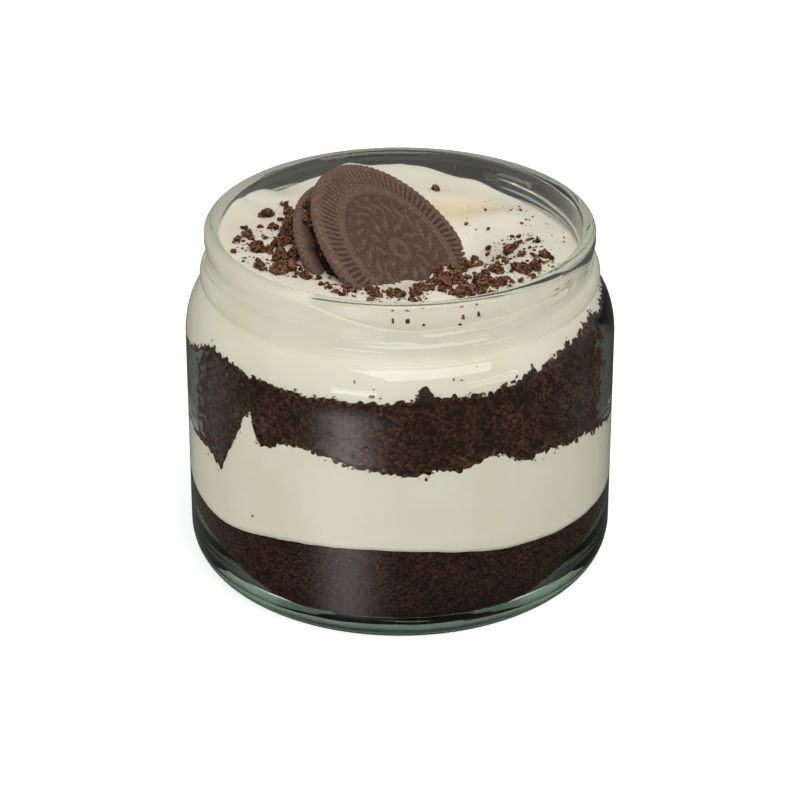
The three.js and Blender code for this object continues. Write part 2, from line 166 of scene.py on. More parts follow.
def wrapped_mesh(name, places):
    """Closed mesh through a grid of places round the axis, its first and last row each a single point."""
    steps, rows = places.shape[:2]
    inner = places[:, 1:-1]
    ends = places[:, [0, -1]].mean(0)
    vertices = np.concatenate([inner.reshape(-1, 3), ends])
    low, high = len(vertices) - 2, len(vertices) - 1
    inside_rows = rows - 2
    i, j = np.meshgrid(np.arange(steps), np.arange(inside_rows - 1), indexing="ij")
    k = (i + 1) % steps
    quads = np.stack([i * inside_rows + j, k * inside_rows + j, k * inside_rows + j + 1,
                      i * inside_rows + j + 1], axis=2).reshape(-1, 4)
    first = np.arange(steps) * inside_rows
    after = np.roll(first, -1)
    bottom = np.stack([np.full(steps, low), after, first], axis=1)
    top = np.stack([first + inside_rows - 1, after + inside_rows - 1, np.full(steps, high)], axis=1)
    mesh = bpy.data.meshes.new(name)
    mesh.from_pydata(vertices.tolist(), [], quads.tolist() + bottom.tolist() + top.tolist())
    mesh.shade_smooth()
    return placed(name, mesh)


def set_inputs(node, values):
    """Gives a node's inputs their values, from {name or number: value}."""
    for socket, value in values.items():
        node.inputs[socket].default_value = value


def new_node(nodes, kind, values=None, **settings):
    """A shader node of a kind, with its settings and the values of its inputs."""
    node = nodes.new("ShaderNode" + kind)
    for setting, value in settings.items():
        setattr(node, setting, value)
    set_inputs(node, values or {})
    return node


def nodes_of(name):
    """A new material with its Principled shader and output: (material, nodes, link, shader, output)."""
    material = bpy.data.materials.new(name)
    material.use_nodes = True
    tree = material.node_tree
    shader = tree.nodes["Principled BSDF"]
    return material, tree.nodes, tree.links.new, shader, tree.nodes["Material Output"]


def clear_glass():
    """Clear glass, faintly green in its thickness, with a finely stippled base inside a smooth ring. Light
    from lamps and from nearby things passes straight through it to what stands inside."""
    material, nodes, link, shader, output = nodes_of("clear_jar_glass")
    set_inputs(shader, {"Base Color": (1, 1, 1, 1), "IOR": 1.5, "Transmission Weight": 1})
    coordinates = new_node(nodes, "TexCoord")
    drawn_out = new_node(nodes, "Mapping", {"Scale": RIPPLE_SCALE})
    ripple = new_node(nodes, "TexNoise", {"Scale": 1, "Detail": 2})
    bump = new_node(nodes, "Bump", {"Strength": 0.6, "Distance": RIPPLE_HEIGHT * MM})
    link(coordinates.outputs["Object"], drawn_out.inputs["Vector"])
    link(drawn_out.outputs["Vector"], ripple.inputs["Vector"])
    link(ripple.outputs["Fac"], bump.inputs["Height"])
    link(bump.outputs["Normal"], shader.inputs["Normal"])
    level = new_node(nodes, "SeparateXYZ")
    stippled = new_node(nodes, "MapRange", {
        "From Min": STIPPLED_TO * MM, "From Max": 1.5 * STIPPLED_TO * MM,
        "To Min": STIPPLE_ROUGHNESS, "To Max": 0.0})
    across = new_node(nodes, "VectorMath", operation="LENGTH")
    within = new_node(nodes, "MapRange", {
        "From Min": (SMOOTH_RING_FROM - 0.2) * MM, "From Max": SMOOTH_RING_FROM * MM,
        "To Min": 1.0, "To Max": 0.0})
    rough = new_node(nodes, "Math", operation="MULTIPLY")
    link(coordinates.outputs["Object"], level.inputs[0])
    link(coordinates.outputs["Object"], across.inputs[0])
    link(level.outputs["Z"], stippled.inputs["Value"])
    link(across.outputs["Value"], within.inputs["Value"])
    link(stippled.outputs["Result"], rough.inputs[0])
    link(within.outputs["Result"], rough.inputs[1])
    link(rough.outputs[0], shader.inputs["Roughness"])
    path = new_node(nodes, "LightPath")
    clear = new_node(nodes, "BsdfTransparent", {"Color": (*LAMP_SHARE, 1)})
    for_bounces = new_node(nodes, "MixShader")
    for_lamps = new_node(nodes, "MixShader")
    link(path.outputs["Is Diffuse Ray"], for_bounces.inputs[0])
    link(shader.outputs["BSDF"], for_bounces.inputs[1])
    link(clear.outputs["BSDF"], for_bounces.inputs[2])
    link(path.outputs["Is Shadow Ray"], for_lamps.inputs[0])
    link(for_bounces.outputs["Shader"], for_lamps.inputs[1])
    link(clear.outputs["BSDF"], for_lamps.inputs[2])
    link(for_lamps.outputs["Shader"], output.inputs["Surface"])
    absorption = new_node(nodes, "VolumeAbsorption", {"Color": (*GLASS_GREEN, 1), "Density": GLASS_DENSITY})
    link(absorption.outputs["Volume"], output.inputs["Volume"])
    return material


def finished(piece, material, body, slot_name, *nodes):
    """Gives a piece its material, attaches it to what it moves with, and hides the solids that it stands
    for.
    """
    piece.data.materials.append(material)
    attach(piece, body)
    if nodes:
        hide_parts(*nodes)


jar_angles = angles_round(JAR_STEPS)
outside, inside = jar_outside(), jar_inside()
grown = lug_depth(jar_angles[:, None], outside[None, :, 1]) * (outside[:, 1] > BEAD_MIDDLE)
grown += seam_height(jar_angles[:, None], outside[None, :, 1]) * (outside[:, 0] > LIP_RADIUS - LIP_ROUNDING)
inside_radii = np.broadcast_to(inside[:, 0], (JAR_STEPS, len(inside)))
jar_radii = np.concatenate([outside[:, 0] + grown, inside_radii], axis=1)
jar_heights = np.concatenate([outside[:, 1], inside[:, 1]])
jar = wrapped_mesh("glass_jar", places_round(jar_angles, jar_radii, jar_heights))
finished(jar, clear_glass(), "root", "jar_glass", "jar")

# ---------------------------------------------------------------------------------- the crumb base
# The lowest layer: chocolate cookie crumb pressed level by hand, dry and dark, fine at the bottom. Only
# its highest grains touch the glass, and the rest lie a little behind it, with air between.

CRUMB_BASE_TOP = dict(
    at_glass=(19.5, 18.6, 19.8, 20.6, 18.1, 21.0, 22.1, 19.6, 18.3, 18.8, 20.6, 21.3),
    peaks=(), middle=20.5, ragged=0.12, seed=11,
)
CRUMB_STEPS, CRUMB_ROW = 860, 0.28
CRUMB_REACH, CREAM_REACH = 0.05, 0.06
FLOOR_REACH, FLOOR_GAP, TOUCHING_RADIUS = 0.05, 0.12, 17
UNDER_CREAM = 1.5
PEAK_RAGGED, FINEST_WAVES = 0.6, 330
BORDER_BELOW, BORDER_ABOVE, BORDER_RELIEF, BORDER_GRAIN = 0.7, 1.3, 0.3, 1.05
PRESSED_TO, PRESSED_DEPTH, LOOSE_DEPTH, LOOSENING = 11, 0.07, 0.10, 8
SIDE_GAP, SIDE_GAP_TOP, SIDE_GAP_FADE, SIDE_FROM = 0.12, 16, 3.5, 0.5
PRESSED_DARK, PRESSED_LIGHT = (0.011, 0.0056, 0.0037), (0.085, 0.041, 0.025)


def around_jar(heights, angle):
    """Smooth closed curve through heights spaced evenly round the jar, the first at the back."""
    count = len(heights)
    place = np.mod(angle + 180, 360) / (360 / count)
    i = np.floor(place).astype(int)
    t = place - i
    table = np.array(heights, float)
    a, b, c, d = (table[(i + k) % count] for k in (-1, 0, 1, 2))
    return b + 0.5 * t * (c - a + t * (2 * a - 5 * b + 4 * c - d + t * (3 * (b - c) + d - a)))


def uneven(angle, waves, seed):
    """Closed uneven line round the jar from -1 to 1, with about so many waves."""
    values = np.random.default_rng(seed).uniform(-1, 1, waves)
    return around_jar(values, angle)


def from_angle(angle, at):
    """Degrees from one angle round the jar to another, between -180 and 180."""
    return np.mod(angle - at + 180, 360) - 180


def hump(offset, rise, left, right):
    """A hump on an edge round the jar, with its own width in degrees on each side."""
    return rise * np.exp(-((offset / np.where(offset < 0, left, right)) ** 2))


def edge_height(layer, angle):
    """Height at which a layer's top meets the glass."""
    height = around_jar(layer["at_glass"], angle)
    for at, rise, left, right in layer["peaks"]:
        offset = from_angle(angle, at) + PEAK_RAGGED * uneven(angle, FINEST_WAVES, layer["seed"])
        height = height + hump(offset, rise, left, right)
    for waves, share in ((45, 0.9), (110, 0.65), (FINEST_WAVES, 0.2)):
        height = height + layer["ragged"] * share * uneven(angle, waves, layer["seed"] + waves)
    return height


def layer_top(layer, angle, radius):
    """Height of a layer's top, which sinks towards its hidden middle."""
    height = edge_height(layer, angle)
    share = np.clip(radius / glass_inside(height), 0, 1) ** 2
    return layer["middle"] + (height - layer["middle"]) * share


def grains(along, up, size, around, seed):
    """Rounded grains of about one size on a wall that closes on itself: 1 on their tops, 0 in the gaps."""
    random = np.random.default_rng(seed)
    across = max(3, round(around / size))
    cell = around / across
    tall = int(np.ceil((up.max() - up.min()) / cell)) + 4
    centre_along, centre_up = random.uniform(0.1, 0.9, (2, across, tall))
    weight = random.uniform(0.45, 1, (across, tall))
    a, b = along / cell, (up - up.min()) / cell + 1
    column, row = np.floor(a).astype(int), np.floor(b).astype(int)
    best = np.zeros(np.broadcast(a, b).shape)
    for i in (-1, 0, 1):
        for j in (-1, 0, 1):
            c, r = (column + i) % across, np.clip(row + j, 0, tall - 1)
            distance = (a - column - i - centre_along[c, r]) ** 2 + (b - row - j - centre_up[c, r]) ** 2
            best = np.maximum(best, weight[c, r] * np.sqrt(np.clip(1 - distance / 0.62, 0, 1)))
    return best


def border_share(distance, relief):
    """Where grains cover the cream along a border: above 0 on the grains that lie in front of the cream."""
    across = np.clip((distance + BORDER_BELOW) / (BORDER_BELOW + BORDER_ABOVE), 0, 1)
    return relief - 0.25 - 0.8 * across


def crumb_layer(name, bottom, top, mixture, depth, recess, scattered):
    """A layer of crumb between two edge heights, its side made of grains of mixed sizes. Scattered crumb
    lies on cream, runs on behind it at both borders, and has single grains that stand in front of it."""
    angles = angles_round(CRUMB_STEPS)
    lower_edge, upper_edge = bottom(angles), top(angles)
    low = lower_edge - (UNDER_CREAM if scattered else 0)
    high = upper_edge + UNDER_CREAM
    rows = int(np.ceil((high - low).mean() / CRUMB_ROW))
    heights = low[:, None] + (high - low)[:, None] * np.linspace(0, 1, rows)
    along = np.radians(angles)[:, None] * INNER_RADIUS
    around = 2 * math.pi * INNER_RADIUS
    relief = sum(share * grains(along, heights, size, around, seed) for share, size, seed in mixture)
    relief = np.minimum(relief / np.quantile(relief, 0.985), 1)
    sunk = depth(heights) * (1 - relief) + recess(angles[:, None], heights)
    wall = CRUMB_REACH - np.maximum(sunk, 0)
    borders = (heights - upper_edge[:, None], lower_edge[:, None] - heights) if scattered else ()
    fine = 0.45 * relief + 0.65 * grains(along, heights, BORDER_GRAIN, around, mixture[0][2] + 50)
    for distance in borders:
        edge = CREAM_REACH + BORDER_RELIEF * np.clip(border_share(distance, fine), -1, 0.4)
        near = np.clip((distance + BORDER_BELOW) / 0.3, 0, 1)
        wall = wall + (edge - wall) * near
    wall = glass_inside(heights) + wall
    ring_shares = np.linspace(0.2, 0.96, 7)
    under = ring_shares * wall[:, :1]
    over = ring_shares[::-1] * wall[:, -1:]
    zero = np.zeros((CRUMB_STEPS, 1))
    middle_low = np.full((CRUMB_STEPS, 1), low.mean())
    middle_high = np.full((CRUMB_STEPS, 1), high.mean())
    under_heights = middle_low + (heights[:, :1] - middle_low) * ring_shares**2
    if not scattered:
        middle_low = middle_low - FLOOR_REACH
        under_heights = under_heights + np.where(under < TOUCHING_RADIUS, -FLOOR_REACH, FLOOR_GAP)
    over_heights = middle_high + (heights[:, -1:] - middle_high) * ring_shares[::-1] ** 2
    radii = np.concatenate([zero, under, wall, over, zero], axis=1)
    levels = np.concatenate([middle_low, under_heights, heights, over_heights, middle_high], axis=1)
    return wrapped_mesh(name, places_round(angles, radii, levels))


def shader_group(name, inputs, outputs):
    """A shader node group with named inputs {name: value} and outputs {name: kind}, and its own nodes."""
    group = bpy.data.node_groups.new(name, "ShaderNodeTree")
    for label, value in inputs.items():
        kind = "NodeSocketColor" if isinstance(value, tuple) else "NodeSocketFloat"
        socket = group.interface.new_socket(label, in_out="INPUT", socket_type=kind)
        socket.default_value = (*value, 1) if isinstance(value, tuple) else value
    for label, kind in outputs.items():
        group.interface.new_socket(label, in_out="OUTPUT", socket_type=kind)
    return group, group.nodes.new("NodeGroupInput"), group.nodes.new("NodeGroupOutput")


def baked_grain_group():
    """Dark baked grain: every grain has its own shade of brown, with darker gaps and a rough surface."""
    group, given, result = shader_group(
        "baked_grain",
        {"Grains per metre": 1100.0, "Dark": (0.010, 0.006, 0.004), "Light": (0.07, 0.045, 0.03),
         "Patch Shade": 0.5},
        {"Color": "NodeSocketColor", "Height": "NodeSocketFloat", "Roughness": "NodeSocketFloat"},
    )
    nodes, link = group.nodes, group.links.new
    coordinates = new_node(nodes, "TexCoord")
    cells = new_node(nodes, "TexVoronoi")
    fine = new_node(nodes, "TexNoise", {"Detail": 4, "Roughness": 0.7})
    patches = new_node(nodes, "TexNoise", {"Scale": 160, "Detail": 3})
    fine_scale = new_node(nodes, "Math", {1: 2.3}, operation="MULTIPLY")
    shade = new_node(nodes, "SeparateColor")
    link(coordinates.outputs["Object"], cells.inputs["Vector"])
    link(coordinates.outputs["Object"], fine.inputs["Vector"])
    link(coordinates.outputs["Object"], patches.inputs["Vector"])
    link(given.outputs["Grains per metre"], cells.inputs["Scale"])
    link(given.outputs["Grains per metre"], fine_scale.inputs[0])
    link(fine_scale.outputs[0], fine.inputs["Scale"])
    link(cells.outputs["Color"], shade.inputs["Color"])
    # Share of the light brown: the grain's own shade, times the patch round it, less the gaps
    own = new_node(nodes, "Math", {1: 1.7}, operation="POWER")
    link(shade.outputs["Red"], own.inputs[0])
    patch = new_node(nodes, "MapRange", {"From Min": 0.35, "From Max": 0.65, "To Min": 0.25})
    link(patches.outputs["Fac"], patch.inputs["Value"])
    patch_mix = new_node(nodes, "Mix", {2: 1})
    link(given.outputs["Patch Shade"], patch_mix.inputs[0])
    link(patch.outputs["Result"], patch_mix.inputs[3])
    both = new_node(nodes, "Math", operation="MULTIPLY")
    link(own.outputs[0], both.inputs[0])
    link(patch_mix.outputs[0], both.inputs[1])
    speck = new_node(nodes, "Math", operation="MULTIPLY")
    link(both.outputs[0], speck.inputs[0])
    speck_shade = new_node(nodes, "MapRange", {
        "From Min": 0.3, "From Max": 0.7, "To Min": 0.35, "To Max": 1.5})
    link(fine.outputs["Fac"], speck_shade.inputs["Value"])
    link(speck_shade.outputs["Result"], speck.inputs[1])
    colour = new_node(nodes, "Mix", data_type="RGBA")
    link(speck.outputs[0], colour.inputs[0])
    link(given.outputs["Dark"], colour.inputs[6])
    link(given.outputs["Light"], colour.inputs[7])
    link(colour.outputs[2], result.inputs["Color"])
    relief = new_node(nodes, "Math", {1: -0.8}, operation="MULTIPLY_ADD")
    link(cells.outputs["Distance"], relief.inputs[0])
    link(fine.outputs["Fac"], relief.inputs[2])
    link(relief.outputs[0], result.inputs["Height"])
    rough = new_node(nodes, "MapRange", {"To Min": 0.75, "To Max": 1.0})
    link(fine.outputs["Fac"], rough.inputs["Value"])
    link(rough.outputs["Result"], result.inputs["Roughness"])
    return group


baked_grain = baked_grain_group()


def baked_material(name, per_metre, dark, light, patch_shade, relief):
    """A dry baked surface from the grain group, with the relief of its grains in millimetres."""
    material, nodes, link, shader, _ = nodes_of(name)
    grain = new_node(nodes, "Group", node_tree=baked_grain)
    set_inputs(grain, {
        "Grains per metre": per_metre, "Dark": (*dark, 1), "Light": (*light, 1),
        "Patch Shade": patch_shade})
    bump = new_node(nodes, "Bump", {"Distance": relief * MM, "Strength": 0.9})
    link(grain.outputs["Color"], shader.inputs["Base Color"])
    link(grain.outputs["Roughness"], shader.inputs["Roughness"])
    link(grain.outputs["Height"], bump.inputs["Height"])
    link(bump.outputs["Normal"], shader.inputs["Normal"])
    shader.inputs["Specular IOR Level"].default_value = 0.06
    return material


def side_gap(angle, height):
    """The crumb stands a little clear of the glass low down at both sides, where it was pressed less."""
    side = np.clip((np.abs(np.sin(np.radians(angle))) - SIDE_FROM) / (1 - SIDE_FROM), 0, 1)
    top = FLOOR_HEIGHT + (SIDE_GAP_TOP - FLOOR_HEIGHT) * side
    return SIDE_GAP * np.clip((top - height) / SIDE_GAP_FADE, 0, 1)


def pressed_depth_at(height):
    """Depth of the gaps between the grains: shallow where the crumb is pressed, deeper above."""
    looser = np.clip((height - PRESSED_TO) / LOOSENING, 0, 1)
    return PRESSED_DEPTH + (LOOSE_DEPTH - PRESSED_DEPTH) * looser


fine_crumb = baked_material("pressed_cookie_crumb", 2800.0, PRESSED_DARK, PRESSED_LIGHT, 0.4, 0.1)
crumb_base = crumb_layer(
    "crumb_base_layer",
    lambda angle: np.full(angle.shape, FLOOR_HEIGHT + 0.02),
    lambda angle: edge_height(CRUMB_BASE_TOP, angle),
    mixture=((0.4, 1.1, 101), (0.7, 0.62, 102)),
    depth=pressed_depth_at,
    recess=side_gap,
    scattered=False,
)
finished(crumb_base, fine_crumb, "root", "crumb", "crumb_base")

# --------------------------------------------------------------------------------- the middle cream
# Whipped cream cheese spooned over the crumb and pushed against the glass, where it clings all round
# without a gap. Its top runs up in one tall peak at the left and is combed by the crumb above it.

CREAM_MIDDLE_TOP = dict(
    at_glass=(41.5, 38.5, 35.5, 33.6, 34.0, 43.0, 39.7, 41.0, 37.4, 33.5, 36.0, 40.0),
    peaks=((-44, 8.6, 6.5, 2.2), (-58, -3.2, 3, 3), (25, 1.2, 5, 5), (35, -1.8, 4, 6)),
    middle=38, ragged=0.6, seed=23,
)
CREAM_STEPS = 720
# The third colour is painted shade: the warm tone laid into the deepest folds of the top.
CREAM_DARK, CREAM_LIGHT, CREAM_FOLD_SHADE = (0.845, 0.77, 0.61), (0.89, 0.84, 0.71), (0.83, 0.70, 0.45)


def cream_layer(name, low, high, side_rows, over_radii, over_heights):
    """Cream from one edge height at the glass to another, with the rings of its top given."""
    angles = angles_round(CREAM_STEPS)
    heights = low[:, None] + (high - low)[:, None] * np.linspace(0, 1, side_rows)
    wall = glass_inside(heights) + CREAM_REACH
    shares = np.linspace(0.15, 0.97, 5)
    zero = np.zeros((CREAM_STEPS, 1))
    middle = np.full((CREAM_STEPS, 1), low.mean())
    under = middle + (low[:, None] - middle) * shares**2
    centre = np.full((CREAM_STEPS, 1), over_heights[:, -1].mean())
    radii = np.concatenate([zero, shares * wall[:, :1], wall, over_radii, zero], axis=1)
    levels = np.concatenate([middle, under, heights, over_heights, centre], axis=1)
    return wrapped_mesh(name, places_round(angles, radii, levels))


def cream_material():
    """Whipped cream: pale ivory, smooth and softly shining, with painted shade that makes it warmer in tone
    down in its folds.
    """
    material, nodes, link, shader, _ = nodes_of("whipped_cream")
    coordinates = new_node(nodes, "TexCoord")
    cloud = new_node(nodes, "TexNoise", {"Scale": 75, "Detail": 3})
    tone = new_node(nodes, "ValToRGB")
    tone.color_ramp.elements[0].position = 0.32
    tone.color_ramp.elements[0].color = (*CREAM_DARK, 1)
    tone.color_ramp.elements[1].position = 0.68
    tone.color_ramp.elements[1].color = (*CREAM_LIGHT, 1)
    froth = new_node(nodes, "TexNoise", {"Scale": 420, "Detail": 3})
    bump = new_node(nodes, "Bump", {"Distance": 0.10 * MM, "Strength": 0.25})
    link(coordinates.outputs["Object"], cloud.inputs["Vector"])
    link(coordinates.outputs["Object"], froth.inputs["Vector"])
    link(cloud.outputs["Fac"], tone.inputs["Fac"])
    # Painted shade: the cream is warmed towards the third colour in its deepest folds.
    fold = new_node(nodes, "Attribute", attribute_name="painted_fold_shade")
    fold_shade_mix = new_node(nodes, "Mix", {7: (*CREAM_FOLD_SHADE, 1)}, data_type="RGBA")
    link(fold.outputs["Fac"], fold_shade_mix.inputs[0])
    link(tone.outputs["Color"], fold_shade_mix.inputs[6])
    link(fold_shade_mix.outputs[2], shader.inputs["Base Color"])
    link(froth.outputs["Fac"], bump.inputs["Height"])
    link(bump.outputs["Normal"], shader.inputs["Normal"])
    set_inputs(shader, {
        "Roughness": 0.42, "Specular IOR Level": 0.35, "Subsurface Weight": 0.25,
        "Subsurface Radius": (1.0, 0.75, 0.4), "Subsurface Scale": 2.0 * MM})
    return material


whipped_cream = cream_material()
cream_angles = angles_round(CREAM_STEPS)
middle_low = edge_height(CRUMB_BASE_TOP, cream_angles)
middle_high = edge_height(CREAM_MIDDLE_TOP, cream_angles)
ring_radii = np.broadcast_to(np.array([38.5, 34, 28, 20, 10]), (CREAM_STEPS, 5))
ring_heights = layer_top(CREAM_MIDDLE_TOP, cream_angles[:, None], ring_radii)
cream_middle = cream_layer("cream_middle_layer", middle_low, middle_high, 24, ring_radii, ring_heights)
finished(cream_middle, whipped_cream, "root", "cream", "cream_middle")

# --------------------------------------------------------------------------------- the middle crumb
# The second layer of crumb, scattered over the cream by the spoonful: coarser and browner than the base,
# hanging down into the cream in places, and standing clear of the glass at the left.

CRUMB_MIDDLE_TOP = dict(
    at_glass=(54.5, 53.0, 51.5, 50.2, 54.6, 54.0, 54.6, 55.2, 58.6, 58.4, 56.5, 55.5),
    peaks=((-62, 1.6, 6, 3), (6.5, 2.4, 1.9, 1.9), (37.5, 1.0, 2, 2)),
    middle=45.5, ragged=0.5, seed=37,
)
COARSE_DEPTH = 0.8
LEFT_GAP, LEFT_GAP_FROM, LEFT_GAP_OPENING, LEFT_GAP_TO, LEFT_GAP_CLOSING = 0.8, 235, 20, 286, 12
FLATTENED, FLATTENED_FROM, FLATTENED_OPENING, FLATTENED_TO, FLATTENED_CLOSING = 0.32, 58, 6, 75, 9
COARSE_DARK, COARSE_LIGHT = (0.020, 0.0098, 0.0062), (0.138, 0.067, 0.040)


def middle_recess(angle, _height):
    """The crumb stands back from the glass at the left, and lies flat against it short of both sides."""
    gap_ends = np.clip((LEFT_GAP_TO - angle) / LEFT_GAP_CLOSING, 0, 1)
    gap_begins = np.clip((angle - LEFT_GAP_FROM) / LEFT_GAP_OPENING, 0, 1)
    aside = np.abs(from_angle(angle, 0))
    flat_begins = np.clip((aside - FLATTENED_FROM) / FLATTENED_OPENING, 0, 1)
    flat_ends = np.clip((FLATTENED_TO - aside) / FLATTENED_CLOSING, 0, 1)
    return LEFT_GAP * gap_ends * gap_begins - FLATTENED * flat_begins * flat_ends


coarse_crumb = baked_material("loose_cookie_crumb", 1700.0, COARSE_DARK, COARSE_LIGHT, 0.8, 0.13)
crumb_middle = crumb_layer(
    "crumb_middle_layer",
    lambda angle: edge_height(CREAM_MIDDLE_TOP, angle),
    lambda angle: edge_height(CRUMB_MIDDLE_TOP, angle),
    mixture=((0.7, 2.2, 103), (0.6, 1.1, 104)),
    depth=lambda height: COARSE_DEPTH,
    recess=middle_recess,
    scattered=True,
)
finished(crumb_middle, coarse_crumb, "root", "crumb", "crumb_middle")

# ------------------------------------------------------------------------------------ the top cream
# The last spoonfuls of cream, swirled with the back of a spoon: high at the left and the back, dished
# beside the cookie, with soft folds. It closes against the cookie and climbs the glass of the neck.

CREAM_TOP_AT_GLASS = (72.0, 70.8, 72.9, 73.4, 73.2, 72.8, 68.9, 69.4, 68.2, 67.4, 67.3, 68.6)
CREAM_TOP_MIDDLE = 70.6
CREAM_TOP_MOUNDS = (
    ((-19, -9), 1.6, 9), ((-6, 24), 1.8, 9), ((13.5, 4.5), -7.4, 10), ((5, -8), -4.2, 7),
    ((-1, -16), -1.4, 5), ((22, 20), 1.2, 6),
)
SWIRL_DEPTH, SWIRL_ARMS, SWIRL_PITCH = 0.5, 3, 3.4
CREAM_TOP_LICKS = ((-162, 1.6, 5, 7), (-136, -1.4, 8, 5), (153, 0.8, 6, 6), (-112, 0.5, 4, 4))
CREAM_TOP_FOLDS = (
    ((8, 18.5), -0.9, 3.2), ((13, 20), -1.0, 3.4), ((19, 20.5), -0.8, 3.2), ((11, 25.5), 0.6, 3.6),
    ((18, 27), 0.5, 3.4), ((26, 13), -0.5, 4), ((-27, 14), -0.5, 4), ((-20, 24), 0.5, 5),
    ((28, -2), 0.4, 3.5),
)
# How many of the folds, the first ones listed, get painted warm shade.
SHADED_FOLDS = 3
TOP_RINGS = 76


def cream_top_edge(angle):
    """Height at which the top cream ends on the glass of the neck, with the licks that the spoon left."""
    height = around_jar(CREAM_TOP_AT_GLASS, angle)
    for at, rise, left, right in CREAM_TOP_LICKS:
        height = height + hump(from_angle(angle, at), rise, left, right)
    return height + 0.12 * uneven(angle, 50, 71) + 0.1 * uneven(angle, 110, 72)


def mound(x, y, at, wide):
    """A round mound on the cream: 1 at its middle, and 0 well away from it."""
    return np.exp(-((x - at[0]) ** 2 + (y - at[1]) ** 2) / wide**2)


def cream_top_height(angle, radius):
    """Height of the swirled top of the cream, in millimetres."""
    x, y = radius * np.sin(np.radians(angle)), -radius * np.cos(np.radians(angle))
    share = np.clip(radius / MOUTH_RADIUS, 0, 1)
    height = CREAM_TOP_MIDDLE + (around_jar(CREAM_TOP_AT_GLASS, angle) - CREAM_TOP_MIDDLE) * share**2
    height = height + (cream_top_edge(angle) - around_jar(CREAM_TOP_AT_GLASS, angle)) * share**7
    for at, rise, wide in CREAM_TOP_MOUNDS:
        height = height + rise * mound(x, y, at, wide) * (1 - share**4)
    for at, rise, wide in CREAM_TOP_FOLDS:
        height = height + rise * mound(x, y, at, wide) * (1 - share**6)
    ripple = np.sin(np.radians(SWIRL_ARMS * angle) + radius / SWIRL_PITCH)
    return height + SWIRL_DEPTH * ripple * share * (1 - share**6)


def painted_fold_shade(x, y):
    """How deep in the deepest folds, the first ones listed, a place on the cream lies, from 0 to 1: the
    share of painted warm shade there.
    """
    return np.clip(sum(mound(x, y, at, wide) for at, _, wide in CREAM_TOP_FOLDS[:SHADED_FOLDS]), 0, 1)


top_low = edge_height(CRUMB_MIDDLE_TOP, cream_angles)
top_high = cream_top_edge(cream_angles)
top_radii = np.broadcast_to(np.linspace(MOUTH_RADIUS - 0.4, 0.6, TOP_RINGS), (CREAM_STEPS, TOP_RINGS))
top_heights = cream_top_height(cream_angles[:, None], top_radii)
cream_top = cream_layer("cream_top_layer", top_low, top_high, 30, top_radii, top_heights)
# Painted shade: how deep each point lies in the deepest folds, stored for the warm tone in them.
corners = np.array([corner.co for corner in cream_top.data.vertices]) / MM
folds = painted_fold_shade(corners[:, 0], corners[:, 1]) * (corners[:, 2] > 60)
fold_shade = cream_top.data.attributes.new("painted_fold_shade", "FLOAT", "POINT")
fold_shade.data.foreach_set("value", folds.astype(np.float32))
finished(cream_top, whipped_cream, "root", "cream", "cream_top")

# ------------------------------------------------------------------------------- the sandwich cookie
# Two round chocolate wafers, baked dry and embossed by a rotary mould, with a dark filling between them.
# It leans to the left, half sunk in the cream, with its patterned face up and to the right.

COOKIE_RADIUS, WAFER_THICK, FILLING_THICK, FILLING_RADIUS = 22, 2.6, 2.6, 19.6
COOKIE_GAP = 0.3
COOKIE_THICK = 2 * WAFER_THICK + FILLING_THICK + 2 * COOKIE_GAP
COOKIE_FACE_CENTRE = Vector((0.3, -4.5, 70.9)) * MM
COOKIE_FACE_ANGLE, COOKIE_FACE_RISE = 69, 48.5
COOKIE_STEPS = 720
RIM_RIDGES = 90
NOTCH_INSIDE, NOTCH_OUTSIDE, NOTCH_HALF = 16.4, 20.2, 0.34
FIELD_RADIUS, MARK_DEPTH = 14.2, 0.5
FACE_ROWS, BACK_FACE_ROWS = 100, 56
WAFER_DARK, WAFER_LIGHT = (0.125, 0.077, 0.057), (0.26, 0.165, 0.126)
# Painted shade: how far the wafer's colour is darkened in the deepest marks of the mould.
SHADE_IN_THE_MARKS = 0.55
FILLING_DARK, FILLING_LIGHT = (0.010, 0.006, 0.004), (0.07, 0.038, 0.025)

face_angle, face_rise = math.radians(COOKIE_FACE_ANGLE), math.radians(COOKIE_FACE_RISE)
cookie_normal = Vector((
    math.sin(face_angle) * math.cos(face_rise),
    -math.cos(face_angle) * math.cos(face_rise),
    math.sin(face_rise),
))
cookie_turn = Vector((0, 0, 1)).rotation_difference(cookie_normal).to_matrix().to_4x4()
cookie_place = Matrix.Translation(COOKIE_FACE_CENTRE) @ cookie_turn


def band(value, low, high, soft):
    """1 between two values and 0 outside them, with soft edges."""
    up = np.clip((value - low) / soft + 0.5, 0, 1)
    down = np.clip((high - value) / soft + 0.5, 0, 1)
    return up * up * (3 - 2 * up) * down * down * (3 - 2 * down)


def lozenges(angle, radius, ring, count, long, wide, slant):
    """A ring of raised lozenges, each leaning across the ring."""
    pitch = 2 * math.pi / count
    offset = (np.mod(angle + slant * (radius - ring) / ring, pitch) - pitch / 2) * ring
    inside = 1 - np.abs(offset) / (wide / 2) - np.abs(radius - ring) / (long / 2)
    return np.clip(inside * 2.2, 0, 1)


